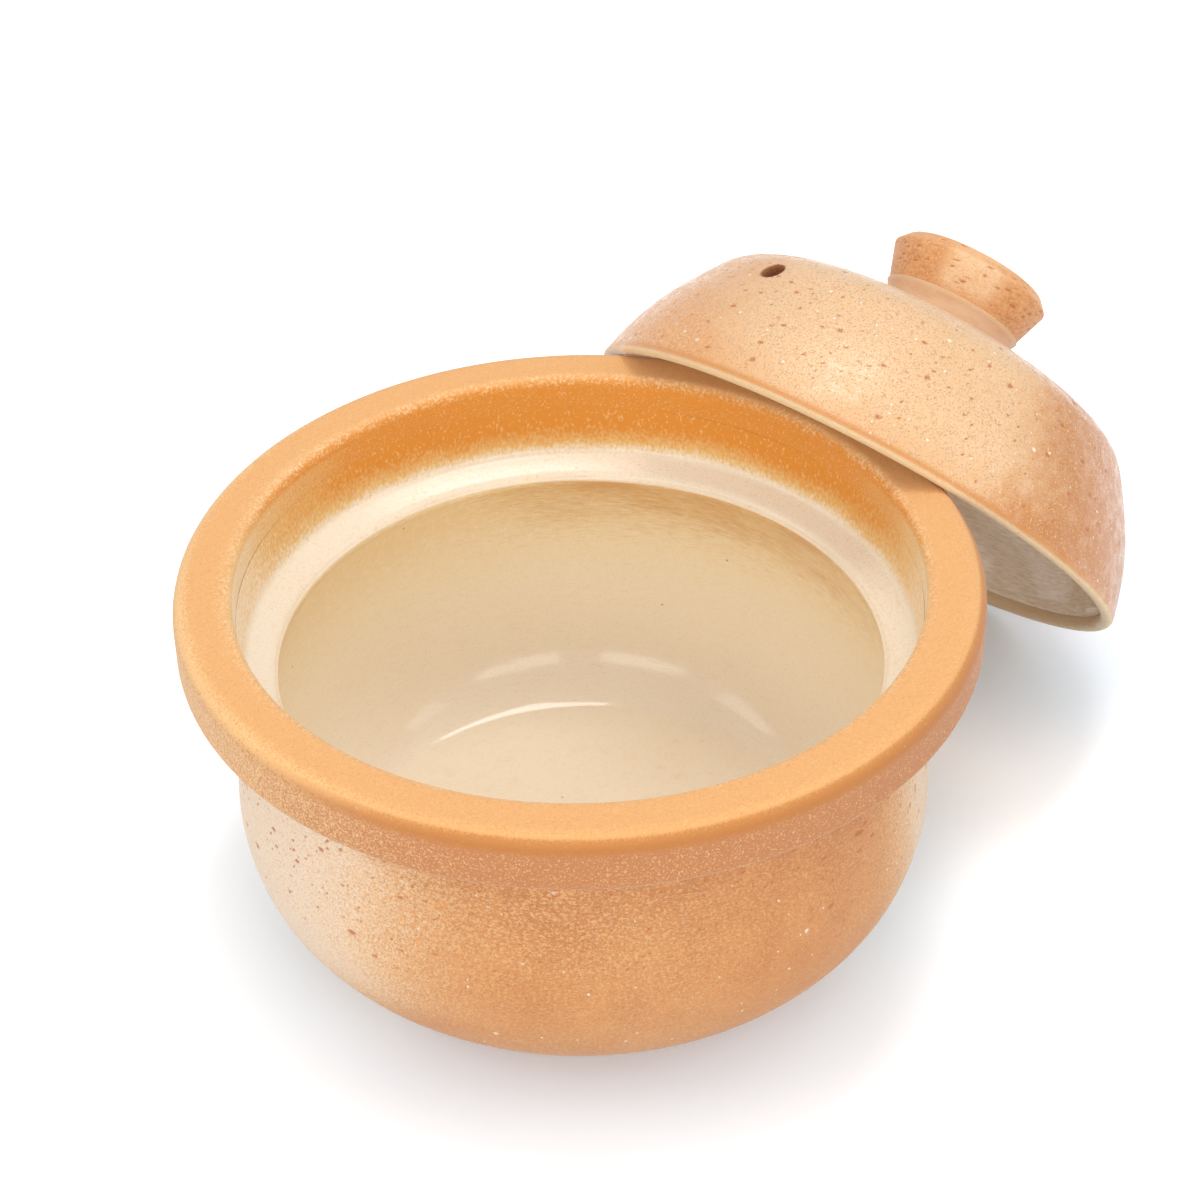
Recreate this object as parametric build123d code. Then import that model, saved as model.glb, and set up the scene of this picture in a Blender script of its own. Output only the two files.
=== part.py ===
"""Donabe: a thrown clay pot with a thick collar, and its domed lid leaning on that collar.

The origin is the centre of the flat foot, on the surface that the pot stands on. +Z is up,
and +X is to the right of somebody who stands in front of the pot, with the lid leaning on
its far right. Lengths are in millimetres and angles in degrees.
"""
import math
import os

from build123d import *

# Driving dimensions of the pot
pot_height = 127.6
collar_radius = 120.0
collar_height = 18.9
collar_width = 17.3
collar_overhang = 17.0
recess_depth = 27.2
recess_taper = 1.7
ledge_width = 10.9
ledge_drop = 4.5
belly_setback = 13.7
wall_thickness = 7.0
floor_thickness = 12.0
floor_spread = 3.0
foot_radius = 68.0
foot_height = 2.2

# Rounded edges of the pot
collar_top_round = 5.5
collar_bottom_round = 3.0
collar_inner_round = 3.2
collar_root_round = 1.6
ledge_corner_round = 2.4
mouth_round = 2.6
foot_round = 0.9

# Driving dimensions of the lid, with heights measured from the plane of its rim
lid_fit_gap = 4.9
lid_crown_height = 59.0
lid_wall = 5.0
lid_crown_wall = 6.0
lip_round = 1.9
steam_hole_radius = 3.6
steam_hole_rise = 28.9
steam_hole_turn = 160.8

# Driving dimensions of the knob and of the slip that lutes it to the lid
knob_foot_radius = 19.6
knob_radius = 28.2
knob_flare_height = 24.5
knob_bevel_width = 3.4
knob_bevel_height = 3.9
knob_edge_round = 0.9
dish_radius = 15.0
dish_depth = 7.0
slip_width = 4.0
slip_height = 11.8
slip_edge = 0.7
finger_radius = 12.4

# The glaze coats, and where each one stops
glaze_thickness = 0.4
glaze_line_below_collar = 11.0
glaze_line_above_lip = 4.0

# How the lid leans back, from 0 for upright to 1 for only its top edge on the collar, then the
# direction that it leans in, and the gaps that keep it from touching
lean_share = 0.593
lean_azimuth = 50.0
floor_gap = 0.3
lean_gap = 0.3

# How far a cutting shape runs past what it cuts
overrun = 5.0

# Outline points between the ends of each curve. The first share is of its drop or rise. The second
# is of the way out to the belly: above it from the neck or the mouth, below it from the foot or
# the floor. On the lid it is a share of the rim's radius.
upper_body_shares = ((0.29, 0.13), (0.555, 1.0))
lower_body_shares = ((0.752, 0.843), (0.883, 0.517))
upper_cavity_shares = ((0.13, 0.591), (0.36, 0.978))
lower_cavity_shares = ((0.6, 0.947), (0.82, 0.702))
lid_outline_shares = ((0.41, 0.922), (0.69, 0.824), (0.84, 0.753), (0.93, 0.655))

# How far the lid's wall leans in at its rim, as a share of its rise there
rim_lean_share = 0.2

# Sizes that follow from the ones above
collar_underside = pot_height - collar_height
neck_radius = collar_radius - collar_overhang
recess_radius = collar_radius - collar_width
ledge_outer_radius = recess_radius - recess_taper
mouth_radius = ledge_outer_radius - ledge_width
ledge_height = pot_height - recess_depth
mouth_height = ledge_height - ledge_drop
belly_radius = collar_radius - belly_setback
inner_belly_radius = belly_radius - wall_thickness
floor_radius = foot_radius + floor_spread
lid_radius = ledge_outer_radius - lid_fit_gap
hollow_radius = lid_radius - lid_wall
hollow_height = lid_crown_height - lid_crown_wall
seat_radius = knob_foot_radius + slip_width
knob_height = knob_flare_height + knob_bevel_height


def rounded(face, radius_and_height, rounding):
    """Rounds the corner of a flat outline that lies nearest to the given point."""
    corner = face.vertices().sort_by_distance(Vector(*radius_and_height))[0]
    return fillet(corner, rounding)


def turned(face):
    """Turns a flat outline, drawn as radius and height, round the vertical axis."""
    return revolve(Plane.XZ * face, Axis.Z)


def closed(start, *steps):
    """Closes an outline: each step is a line to a point, or a curve and the point it ends at."""
    edges = Curve()
    here = start
    for step in steps:
        if isinstance(step, tuple):
            edges += Line(here, step)
            here = step
        else:
            edges += step
            here = step @ 1
    edges += Line(here, start)
    return make_face(edges)


def swelling(inner_radius, outer_radius, top, drop, shares):
    """Outline points on a wall that swells from one radius towards another as it falls."""
    points = []
    for fall_share, swell_share in shares:
        radius = inner_radius + (outer_radius - inner_radius) * swell_share
        points.append((radius, top - drop * fall_share))
    return points


def body_curve():
    """The pot's outside from its foot up to the underside of the collar."""
    drop = collar_underside - foot_height
    points = [
        (neck_radius, collar_underside),
        *swelling(neck_radius, belly_radius, collar_underside, drop, upper_body_shares),
        *swelling(foot_radius, belly_radius, collar_underside, drop, lower_body_shares),
        (foot_radius, foot_height),
    ]
    return Spline(*reversed(points))


def cavity_curve(cover):
    """The pot's inside from the mouth, out under the ledge, and down to the level floor."""
    top = mouth_height + cover
    drop = mouth_height - floor_thickness
    start = mouth_radius - cover
    belly = inner_belly_radius - cover
    end = floor_radius - cover
    points = [
        (start, top),
        *swelling(start, belly, top, drop, upper_cavity_shares),
        *swelling(end, belly, top, drop, lower_cavity_shares),
        (end, floor_thickness + cover),
    ]
    return Spline(*points, tangents=((1, -1), (-1, 0)), tangent_scalars=(0.6, 1.0))


def pot_outside():
    """The whole pot as if it were solid, with its foot, belly and collar."""
    face = closed(
        (0, 0),
        (foot_radius, 0),
        (foot_radius, foot_height),
        body_curve(),
        (collar_radius, collar_underside),
        (collar_radius, pot_height),
        (0, pot_height),
    )
    face = rounded(face, (foot_radius, 0), foot_round)
    face = rounded(face, (neck_radius, collar_underside), collar_root_round)
    face = rounded(face, (collar_radius, collar_underside), collar_bottom_round)
    return rounded(face, (collar_radius, pot_height), collar_top_round)


def pot_hollow(cover=0):
    """The room inside the pot above a cover of glaze: the recess, ledge, mouth and cavity."""
    lip = (recess_radius + collar_inner_round - cover, pot_height)
    recess_top = (recess_radius - cover, pot_height - collar_inner_round)
    corner = (ledge_outer_radius - cover, ledge_height + cover)
    mouth = (mouth_radius - cover, mouth_height + cover)
    face = closed(
        (0, floor_thickness + cover),
        (0, pot_height + overrun),
        (lip[0], pot_height + overrun),
        lip,
        RadiusArc(lip, recess_top, collar_inner_round),
        corner,
        mouth,
        cavity_curve(cover),
    )
    face = rounded(face, corner, ledge_corner_round - cover)
    return rounded(face, mouth, mouth_round + cover)


def lid_curve(rim_radius, start_height, crown_height, end_radius):
    """One side of the lid's wall, from the rim up over the shoulder to the level crown."""
    rise = crown_height - start_height
    points = [(rim_radius, start_height)]
    for rise_share, radius_share in lid_outline_shares:
        points.append((rim_radius * radius_share, start_height + rise * rise_share))
    points.append((end_radius, crown_height))
    return Spline(*points, tangents=((-rim_lean_share, 1), (-1, 0)))


def lid_outside():
    """The whole lid as if it were solid, level on top where the knob is luted on."""
    return closed(
        (0, 0),
        (lid_radius, 0),
        lid_curve(lid_radius, 0, lid_crown_height, seat_radius),
        (0, lid_crown_height),
    )


def lid_hollow(cover=0):
    """The room under the lid, inside a cover of glaze."""
    radius = hollow_radius - cover
    height = hollow_height - cover
    return closed(
        (0, -overrun),
        (radius, -overrun),
        (radius, 0),
        lid_curve(radius, 0, height, seat_radius),
        (0, height),
    )


def coat(hollow, low, high, reach):
    """A glaze coat on the wall of a hollow, between two heights, up to a largest radius."""
    band = Pos(0, low) * Rectangle(reach, high - low, align=(Align.MIN, Align.MIN))
    return turned((hollow() - hollow(glaze_thickness)) & band)


def steam_hole():
    """A drill through the lid's shoulder that points at the centre of the rim."""
    length = lid_radius + lid_crown_height
    drill = Cylinder(steam_hole_radius, length, align=(Align.CENTER, Align.CENTER, Align.MIN))
    return Rot(0, 0, steam_hole_turn) * Rot(0, 90 - steam_hole_rise, 0) * drill


def make_pot_bowl():
    """The thrown bowl with its collar: one piece of fired clay."""
    return turned(pot_outside() - pot_hollow())


def make_pot_inner_glaze():
    """The glaze inside the pot, from the floor up to a line in the recess."""
    return coat(pot_hollow, 0, pot_height - glaze_line_below_collar, collar_radius)


def make_lid_dome():
    """The thrown lid without its knob, drilled for steam."""
    face = lid_outside() - lid_hollow()
    face = rounded(face, (lid_radius, 0), lip_round)
    face = rounded(face, (hollow_radius, 0), lip_round)
    return turned(face) - steam_hole()


def make_lid_inner_glaze():
    """The glaze under the lid, which stops short of the bare lip."""
    return coat(lid_hollow, glaze_line_above_lip, lid_crown_height, lid_radius) - steam_hole()


def knob_side(height):
    """The radius of the knob's flared side at a height above the crown."""
    return knob_foot_radius + (knob_radius - knob_foot_radius) * height / knob_flare_height


def make_lid_knob():
    """The thrown knob: narrow at its foot, flared, bevelled round the top and dished."""
    top = lid_crown_height + knob_height
    flare_top = lid_crown_height + knob_flare_height
    bowl = ThreePointArc((dish_radius, top), (0, top - dish_depth), (-dish_radius, top))
    face = closed(
        (0, lid_crown_height),
        (knob_foot_radius, lid_crown_height),
        (knob_radius, flare_top),
        (knob_radius - knob_bevel_width, top),
        (0, top),
    )
    face = rounded(face, (knob_radius, flare_top), knob_edge_round)
    face = rounded(face, (knob_radius - knob_bevel_width, top), knob_bevel_width / 2)
    half = Pos(0, lid_crown_height) * Rectangle(
        lid_radius, knob_height + overrun, align=(Align.MIN, Align.MIN)
    )
    dish = make_face(bowl + Line(bowl @ 1, bowl @ 0)) & half
    return turned(face - dish)


def make_knob_slip():
    """The ring of slip round the knob's foot, wiped hollow up to a blunt dried edge."""
    top = lid_crown_height + slip_height
    seat = (seat_radius, lid_crown_height)
    shoulder = (knob_side(slip_height) + slip_edge, top)
    face = closed(
        (knob_foot_radius, lid_crown_height),
        seat,
        RadiusArc(seat, shoulder, finger_radius),
        (knob_side(slip_height), top),
    )
    return turned(face)


def lid_place():
    """Where the lid leans: its rim is on the surface and its lip is against the collar's edge."""
    eighth = math.cos(math.radians(45))
    edge_radius = collar_radius - collar_top_round * (1 - eighth)
    edge_height = pot_height - collar_top_round * (1 - eighth)
    sine = ((edge_height - floor_gap) / (lid_radius + lid_radius)) ** lean_share
    cosine = math.sqrt(1 - sine**2)
    rim_lean = math.atan(rim_lean_share)
    lip_inset = lip_round * (1 + math.sin(rim_lean)) / math.cos(rim_lean)
    rim_height = floor_gap + (lid_radius - lip_inset) * sine + lip_round * (1 - cosine)
    lip_radius = hollow_radius + lip_round * (1 - eighth)
    slope = (edge_height - rim_height) / sine
    reach = slope * cosine + math.sqrt(edge_radius**2 - lip_radius**2 + slope**2)
    tilt = math.degrees(math.asin(sine))
    return Rot(0, 0, lean_azimuth) * Pos(reach + lean_gap, 0, rim_height) * Rot(0, tilt, 0)


def make_parts():
    """Every sub-part by name, each where it stands in the photographed pose."""
    lean = lid_place()
    return {
        "pot_bowl": make_pot_bowl(),
        "pot_inner_glaze": make_pot_inner_glaze(),
        "lid_dome": lean * make_lid_dome(),
        "lid_inner_glaze": lean * make_lid_inner_glaze(),
        "lid_knob": lean * make_lid_knob(),
        "knob_slip": lean * make_knob_slip(),
    }


if __name__ == "__main__":
    os.makedirs("parts", exist_ok=True)
    for name, shape in make_parts().items():
        export_step(shape, f"parts/{name}.step")
        print(name, round(shape.volume), len(shape.solids()))
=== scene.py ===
"""How the donabe looks: its thrown and fired clay, its glaze, and the studio it is seen in."""

import math

import bmesh
import bpy
import numpy as np
from mathutils import Matrix, Vector


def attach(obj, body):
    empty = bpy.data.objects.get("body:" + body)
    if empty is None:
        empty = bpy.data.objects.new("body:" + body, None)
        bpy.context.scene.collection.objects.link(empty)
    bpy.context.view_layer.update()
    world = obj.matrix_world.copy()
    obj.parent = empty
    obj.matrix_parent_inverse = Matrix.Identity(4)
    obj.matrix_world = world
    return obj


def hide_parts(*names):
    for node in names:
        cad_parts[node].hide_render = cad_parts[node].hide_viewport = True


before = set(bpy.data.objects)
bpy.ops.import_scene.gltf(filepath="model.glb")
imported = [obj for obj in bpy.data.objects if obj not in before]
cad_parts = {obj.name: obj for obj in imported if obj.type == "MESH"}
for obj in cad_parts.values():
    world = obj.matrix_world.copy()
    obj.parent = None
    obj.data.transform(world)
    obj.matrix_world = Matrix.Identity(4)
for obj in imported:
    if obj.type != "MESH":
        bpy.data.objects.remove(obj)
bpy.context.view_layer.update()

# The pot: one bowl thrown from coarse, sandy clay, its collar turned out thick at the mouth,
# with a recess and a ledge inside for the lid. The outside is bare and takes its colour from
# the fire: orange where the flame ran, buff where ash fell. Shade under the collar and on its
# side, and a highlight along its inner edge, are painted into that colour as well.

MM = 0.001
POT_HEIGHT = 127.6
COLLAR_RADIUS = 120.0
COLLAR_BOTTOM = POT_HEIGHT - 18.9
COLLAR_TOP_ROUND = 5.5
COLLAR_BOTTOM_ROUND = 3.0
COLLAR_ROOT_ROUND = 1.6
NECK_RADIUS = COLLAR_RADIUS - 17.0
RECESS_RADIUS = COLLAR_RADIUS - 17.3
RECESS_ROUND = 3.2
COLLAR_SEAM = RECESS_RADIUS + 6.0
LEDGE_RADIUS = RECESS_RADIUS - 1.7
LEDGE_HEIGHT = POT_HEIGHT - 27.2
LEDGE_ROUND = 2.4
MOUTH_RADIUS = LEDGE_RADIUS - 10.9
MOUTH_HEIGHT = LEDGE_HEIGHT - 4.5
MOUTH_ROUND = 2.6
CLAY_MOUTH_ROUND = 1.0
BELLY_RADIUS = COLLAR_RADIUS - 13.7
WALL = 7.0
FOOT_RADIUS = 68.0
FOOT_HEIGHT = 2.2
FOOT_ROUND = 0.9
FOOT_ROOT_ROUND = 0.3
FLOOR_RADIUS = FOOT_RADIUS + 3.0
FLOOR_HEIGHT = 12.0
FLOOR_ROUND = 0.5
HUB_RADIUS = 6.0
RING_GAP = 0.9
HIDDEN_RING_GAP = 4.0
SHOWN_DOWN_TO = MOUTH_HEIGHT - 3.0
SKIN = 0.02
UPPER_BODY_SHARES = ((0.29, 0.13), (0.555, 1.0))
LOWER_BODY_SHARES = ((0.752, 0.843), (0.883, 0.517))
UPPER_CAVITY_SHARES = ((0.13, 0.591), (0.36, 0.978))
LOWER_CAVITY_SHARES = ((0.6, 0.947), (0.82, 0.702))


def swelling(inner, outer, top, drop, shares):
    """Outline points on a wall that swells from one radius towards another as it falls."""
    return [(inner + (outer - inner) * swell, top - drop * fall) for fall, swell in shares]


def smooth_run(points, start, end):
    """A smooth run of points through the given ones, leaving and arriving along two slopes."""
    points = np.array(points, float)
    spans = np.linalg.norm(np.diff(points, axis=0), axis=1)
    last = len(points) - 1
    rows = np.eye(last + 1)
    slopes = np.zeros((last + 1, 2))
    slopes[0], slopes[last] = start, end
    for i in range(1, last):
        before, after = spans[i - 1], spans[i]
        rows[i, i - 1 : i + 2] = after, 2 * (before + after), before
        rise = after / before * (points[i] - points[i - 1])
        slopes[i] = 3 * (rise + before / after * (points[i + 1] - points[i]))
    slopes = np.linalg.solve(rows, slopes)
    runs = []
    for i in range(last):
        t = np.linspace(0, 1, 40, endpoint=False)[:, None]
        near, far = points[i], points[i + 1]
        lead, tail = slopes[i] * spans[i], slopes[i + 1] * spans[i]
        ease = t * t * (3 - 2 * t)
        runs.append(near + ease * (far - near) + t * (1 - t) * ((1 - t) * lead - t * tail))
    return np.vstack(runs + [points[-1:]])


def cavity_run(cover):
    """The pot's inside from its mouth down to its floor, under a cover of glaze."""
    top, drop = MOUTH_HEIGHT + cover, MOUTH_HEIGHT - FLOOR_HEIGHT
    start, end = MOUTH_RADIUS - cover, FLOOR_RADIUS - cover
    belly = BELLY_RADIUS - WALL - cover
    upper = swelling(start, belly, top, drop, UPPER_CAVITY_SHARES)
    lower = swelling(end, belly, top, drop, LOWER_CAVITY_SHARES)
    points = ((start, top), *upper, *lower, (end, FLOOR_HEIGHT + cover))
    return smooth_run(points, (0.42, -0.42), (-1, 0))


def distances(path):
    """How far along the path each of its points lies."""
    return np.r_[0, np.cumsum(np.linalg.norm(np.diff(path, axis=0), axis=1))]


def length(path):
    """The whole length of the path."""
    return distances(path)[-1]


def shortened(run, reach):
    """The run without its last bit of the given length."""
    left = distances(run[::-1])[::-1]
    cut = [np.interp(reach, left[::-1], run[::-1, axis]) for axis in (0, 1)]
    return np.vstack([run[left > reach], cut])


def joined(*steps):
    """Runs of points joined end to end; a number between two runs is the radius of their corner."""
    path = np.array(steps[0], float)
    for rounding, run in zip(steps[1::2], steps[2::2]):
        run = np.array(run, float)
        arriving = path[-1] - path[-2]
        leaving = run[1] - run[0]
        cosine = arriving @ leaving / np.linalg.norm(arriving) / np.linalg.norm(leaving)
        turn = math.acos(max(-1.0, min(1.0, cosine)))
        reach = rounding * math.tan(turn / 2)
        path = shortened(path, reach)
        run = shortened(run[::-1], reach)[::-1]
        handle = 4 / 3 * math.tan(turn / 4) * rounding
        arriving = arriving / np.linalg.norm(arriving) * handle
        leaving = leaving / np.linalg.norm(leaving) * handle
        corners = path[-1], path[-1] + arriving, run[0] - leaving, run[0]
        t = np.linspace(0, 1, 14)[1:-1, None]
        shares = (1 - t) ** 3, 3 * t * (1 - t) ** 2, 3 * t * t * (1 - t), t**3
        path = np.vstack([path, sum(s * c for s, c in zip(shares, corners)), run])
    return path


def spaced(path, gap):
    """The same path with its points evenly spaced at about the given gap."""
    along = distances(path)
    stops = np.linspace(0, along[-1], max(2, int(round(along[-1] / gap)) + 1))
    return np.column_stack([np.interp(stops, along, path[:, axis]) for axis in (0, 1)])


def chance(column, row, seed):
    """A repeatable random number from 0 to 1 for each pair of whole numbers."""
    mix = column.astype(np.uint64) * np.uint64(73856093) ^ row.astype(np.uint64) * np.uint64(19349663)
    mix = (mix ^ np.uint64(seed * 83492791 + 12345)) & np.uint64(0xFFFFFFFF)
    mix = ((mix ^ (mix >> np.uint64(15))) * np.uint64(2246822519)) & np.uint64(0xFFFFFFFF)
    mix = ((mix ^ (mix >> np.uint64(13))) * np.uint64(3266489917)) & np.uint64(0xFFFFFFFF)
    return ((mix ^ (mix >> np.uint64(16))) & np.uint64(0xFFFFFF)) / float(0xFFFFFF)


def unevenness(place, size, seed):
    """Smooth unevenness from -1 to 1 over the surface, in swells of about the given size."""
    place = place / size + 500.5
    cell = np.floor(place).astype(np.int64)
    part = place - cell
    part = part * part * (3 - 2 * part)
    total = 0
    for dx in (0, 1):
        for dy in (0, 1):
            for dz in (0, 1):
                share = np.ones(len(place))
                for axis, far in enumerate((dx, dy, dz)):
                    share = share * (part[:, axis] if far else 1 - part[:, axis])
                row = (cell[:, 1] + dy) * 4099 + cell[:, 2] + dz
                total = total + share * chance(cell[:, 0] + dx, row, seed)
    return 2 * total - 1


def pocks(surface, pitch, long, tall, share, seed):
    """Scattered oval marks, 1 at their middles and 0 outside, set level round the turned form."""
    widest = surface["radius"].max()
    cells = int(2 * math.pi * widest / pitch)
    column = surface["turn"] / (2 * math.pi) * cells
    row = surface["along"] / pitch
    marks = np.zeros(len(row))
    for right in (-1, 0, 1):
        for up in (-1, 0, 1):
            home = np.floor(column).astype(np.int64) + right
            level = np.floor(row).astype(np.int64) + up + 64
            key = home % cells
            side = (home + chance(key, level, seed) - column) / cells * 2 * math.pi
            rise = (level - 64 + chance(key, level, seed + 1) - row) * pitch
            size = 0.45 + 0.85 * chance(key, level, seed + 2) ** 2
            away = np.hypot(side * surface["radius"] / long, rise / tall) / size
            there = chance(key, level, seed + 3) < share * surface["radius"] / widest
            marks = np.maximum(marks, there * np.clip(1 - away, 0, 1))
    return marks


FEWEST_SIDES = 24
FULL_RADIUS = 60.0


def turned(name, path, relief, place=Matrix(), crowd=720):
    """A mesh thrown from a path of (radius, height) points in mm. relief gives each vertex's
    height over the plain form, and the fired-on coats that the clay's finish reads."""
    rings = []
    for radius, height in path:
        sides = crowd
        while sides > FEWEST_SIDES and radius < FULL_RADIUS * sides / crowd:
            sides //= 2
        rings.append(1 if radius < 0.01 else sides)
    lean = np.gradient(path, axis=0)
    lean /= np.linalg.norm(lean, axis=1)[:, None]
    along = distances(path)
    ring = np.repeat(np.arange(len(path)), rings)
    first = np.r_[0, np.cumsum(rings)]
    turn = 2 * math.pi * (np.arange(len(ring)) - first[ring]) / np.array(rings)[ring]
    out = np.column_stack([np.cos(turn), np.sin(turn)])
    base = np.column_stack([out * path[ring, :1], path[ring, 1]])
    normal = np.column_stack([out * lean[ring, 1:], -lean[ring, 0]])
    surface = {"turn": turn, "along": along[ring], "radius": path[ring, 0], "height": path[ring, 1]}
    surface["place"] = base
    rise, coats = relief(surface)
    points = base + normal * rise[:, None]
    faces = []
    for i in range(len(path) - 1):
        low, high = rings[i], rings[i + 1]
        a, b = first[i], first[i + 1]
        if low == high:
            for j in range(low):
                k = (j + 1) % low
                faces.append((a + j, a + k, b + k, b + j))
        elif low == 1 or high == 1:
            many, hub, rim = max(low, high), (a if low == 1 else b), (b if low == 1 else a)
            for j in range(many):
                fan = (rim + j, rim + (j + 1) % many, hub)
                faces.append(fan if high == 1 else fan[::-1])
        else:
            few, fine, coarse = min(low, high), (a if low > high else b), (b if low > high else a)
            for j in range(few):
                p, q, r = fine + 2 * j, fine + 2 * j + 1, fine + (2 * j + 2) % (2 * few)
                s, t = coarse + j, coarse + (j + 1) % few
                for face in ((p, q, s), (q, t, s), (q, r, t)):
                    faces.append(face if low > high else face[::-1])
    mesh = bpy.data.meshes.new(name)
    turned_place = np.array(place.to_3x3()) @ points.T * MM
    turned_place = turned_place.T + np.array(place.translation)
    mesh.from_pydata(turned_place.tolist(), [], faces)
    mesh.shade_smooth()
    wheel = mesh.attributes.new("wheel", "FLOAT_VECTOR", "POINT")
    wheel.data.foreach_set("vector", base.astype(np.float32).ravel())
    for coat, amount in coats.items():
        layer = mesh.attributes.new(coat, "FLOAT", "POINT")
        layer.data.foreach_set("value", np.asarray(amount, np.float32))
    piece = bpy.data.objects.new(name, mesh)
    bpy.context.collection.objects.link(piece)
    return piece


def band(value, low, high):
    """0 below low, 1 above high, and a soft step between; the other way round if high < low."""
    t = np.clip((value - low) / (high - low), 0, 1)
    return t * t * (3 - 2 * t)


def facing(surface, compass, width):
    """1 on the side towards a compass angle, falling to 0 at the given width off to each side."""
    away = np.abs((np.degrees(surface["turn"]) - compass + 180) % 360 - 180)
    return band(away, width, 0.35 * width)


def recess_blush(surface):
    """How orange the fire left the recess, from -1 to 1: most at the back, least at the left."""
    back = facing(surface, 84, 96)
    high = (surface["height"] - LEDGE_HEIGHT) / (POT_HEIGHT - LEDGE_HEIGHT)
    top = band(surface["height"], POT_HEIGHT - 5, POT_HEIGHT - 2)
    swell = 0.2 * unevenness(surface["place"], 14, 25)
    low = 0.6 * band(surface["height"], LEDGE_HEIGHT + 5, LEDGE_HEIGHT)
    orange = 2.0 * back * np.clip(high * 2.4, 0, 1) + (0.7 + 0.9 * back) * top - 1.1
    return np.clip(orange, -1.1, 1) + swell - low


shown_outside = joined(
    ((HUB_RADIUS, 0), (FOOT_RADIUS, 0)),
    FOOT_ROUND,
    ((FOOT_RADIUS, 0), (FOOT_RADIUS, FOOT_HEIGHT)),
    FOOT_ROOT_ROUND,
    smooth_run(
        (
            (FOOT_RADIUS, FOOT_HEIGHT),
            *swelling(
                FOOT_RADIUS,
                BELLY_RADIUS,
                COLLAR_BOTTOM,
                COLLAR_BOTTOM - FOOT_HEIGHT,
                LOWER_BODY_SHARES[::-1],
            ),
            *swelling(
                NECK_RADIUS,
                BELLY_RADIUS,
                COLLAR_BOTTOM,
                COLLAR_BOTTOM - FOOT_HEIGHT,
                UPPER_BODY_SHARES[::-1],
            ),
            (NECK_RADIUS, COLLAR_BOTTOM),
        ),
        (0.9, 0.437),
        (0.23, 0.973),
    ),
    COLLAR_ROOT_ROUND,
    ((NECK_RADIUS, COLLAR_BOTTOM), (COLLAR_RADIUS, COLLAR_BOTTOM)),
    COLLAR_BOTTOM_ROUND,
    ((COLLAR_RADIUS, COLLAR_BOTTOM), (COLLAR_RADIUS, POT_HEIGHT)),
    COLLAR_TOP_ROUND,
    ((COLLAR_RADIUS, POT_HEIGHT), (COLLAR_SEAM, POT_HEIGHT)),
)
shown_inside = joined(
    ((COLLAR_SEAM, POT_HEIGHT), (RECESS_RADIUS, POT_HEIGHT)),
    RECESS_ROUND,
    ((RECESS_RADIUS, POT_HEIGHT), (LEDGE_RADIUS, LEDGE_HEIGHT)),
    LEDGE_ROUND,
    ((LEDGE_RADIUS, LEDGE_HEIGHT), (MOUTH_RADIUS, MOUTH_HEIGHT)),
    CLAY_MOUTH_ROUND,
    cavity_run(0),
    FLOOR_ROUND,
    ((FLOOR_RADIUS, FLOOR_HEIGHT), (HUB_RADIUS, FLOOR_HEIGHT)),
)
bowl_rings = spaced(shown_outside, RING_GAP)
INSIDE = length(np.vstack([[[0, 0]], bowl_rings]))
shows = shown_inside[:, 1] > SHOWN_DOWN_TO
recess_rings = spaced(shown_inside[shows], RING_GAP)
cavity_rings = spaced(shown_inside[~shows], HIDDEN_RING_GAP)
bowl_path = np.vstack(
    [[[0, 0]], bowl_rings, recess_rings[1:], cavity_rings, [[0, FLOOR_HEIGHT]]]
)


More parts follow.
